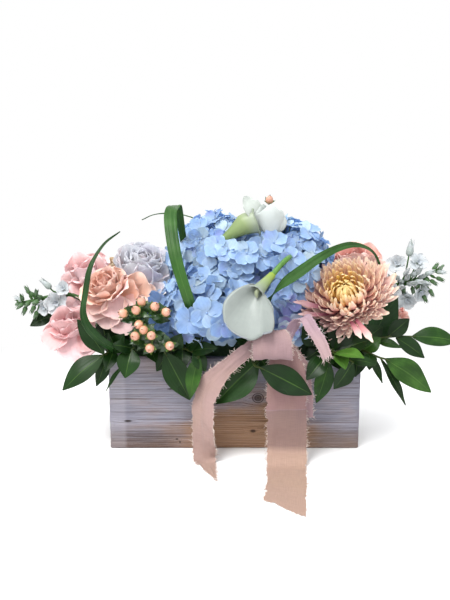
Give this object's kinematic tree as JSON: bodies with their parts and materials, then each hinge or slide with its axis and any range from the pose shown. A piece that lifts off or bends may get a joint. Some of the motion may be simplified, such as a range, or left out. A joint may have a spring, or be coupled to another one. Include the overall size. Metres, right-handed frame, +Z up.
{
  "type": "floral table centerpiece",
  "caption": "Low floral centerpiece: blue hydrangeas, calla lilies, roses and a bronze chrysanthemum with foliage and a hanging ribbon bow, in a whitewashed wooden planter box.",
  "frame": {"origin": "centre of the wooden box's underside, on the table", "axes": "+X along the box to the right as seen from the front, +Y to the back, +Z up; the ribbon hangs over the front, at -Y"},
  "size_m": [0.549, 0.342, 0.3081],
  "materials": {
    "wood": "whitewashed, matt",
    "liner_plastic": "matt",
    "foam": "fine open-celled foam, wet",
    "hydrangea_petal": "soft petal",
    "calla_petal": "waxy petal",
    "chrysanthemum_petal": "soft petal",
    "peony_petal": "soft petal",
    "rose_peach_petal": "soft petal",
    "rose_pink_petal": "soft petal",
    "rose_coral_petal": "soft petal",
    "carnation_petal": "soft petal",
    "larkspur_petal": "soft petal",
    "hypericum_fruit": "smooth, slightly glossy berry",
    "stem": "green plant stem",
    "grass": "ribbed grass blade",
    "leaf": "glossy leaf",
    "ribbon": "thin torn-edge cloth"
  },
  "bodies": {
    "root": {"front_board": "wood", "back_board": "wood", "left_end_board": "wood", "right_end_board": "wood", "bottom_board": "wood", "liner": "liner_plastic", "floral_foam": "foam", "hydrangea_left_bloom": "hydrangea_petal", "hydrangea_center_bloom": "hydrangea_petal", "hydrangea_right_bloom": "hydrangea_petal", "hydrangea_rear_bloom": "hydrangea_petal", "calla_front_spathe": "calla_petal", "calla_top_left_spathe": "calla_petal", "calla_top_right_spathe": "calla_petal", "chrysanthemum_bloom": "chrysanthemum_petal", "peony_bloom": "peony_petal", "rose_peach_bloom": "rose_peach_petal", "rose_pink_upper_bloom": "rose_pink_petal", "rose_pink_lower_bloom": "rose_pink_petal", "rose_rear": "rose_pink_petal", "rose_coral": "rose_coral_petal", "rosebud_coral": "rose_coral_petal", "carnation_cream": "carnation_petal", "larkspur_left": "larkspur_petal", "larkspur_right": "larkspur_petal", "hypericum_left": "hypericum_fruit", "hypericum_top": "hypericum_fruit", "hydrangea_left_stem": "stem", "hydrangea_center_stem": "stem", "hydrangea_right_stem": "stem", "hydrangea_rear_stem": "stem", "calla_front_stem": "stem", "calla_top_left_stem": "stem", "calla_top_right_stem": "stem", "chrysanthemum_stem": "stem", "peony_stem": "stem", "rose_peach_stem": "stem", "rose_pink_upper_stem": "stem", "rose_pink_lower_stem": "stem", "lily_grass_left": "grass", "lily_grass_loop": "grass", "lily_grass_right": "grass", "lily_grass_rear": "grass", "ruscus_left": "leaf", "ruscus_front_left": "leaf", "ruscus_front_mid_left": "leaf", "ruscus_front_center": "leaf", "ruscus_front_right": "leaf", "ruscus_right_low": "leaf", "ruscus_right_high": "leaf", "salal_right": "leaf", "ruscus_rear_left": "leaf", "ruscus_rear_right": "leaf", "ribbon_knot": "ribbon", "ribbon_loop_front": "ribbon", "ribbon_loop_right": "ribbon", "ribbon_tail_left": "ribbon", "ribbon_tail_right": "ribbon", "ribbon_tail_short": "ribbon"}
  },
  "joints": []
}
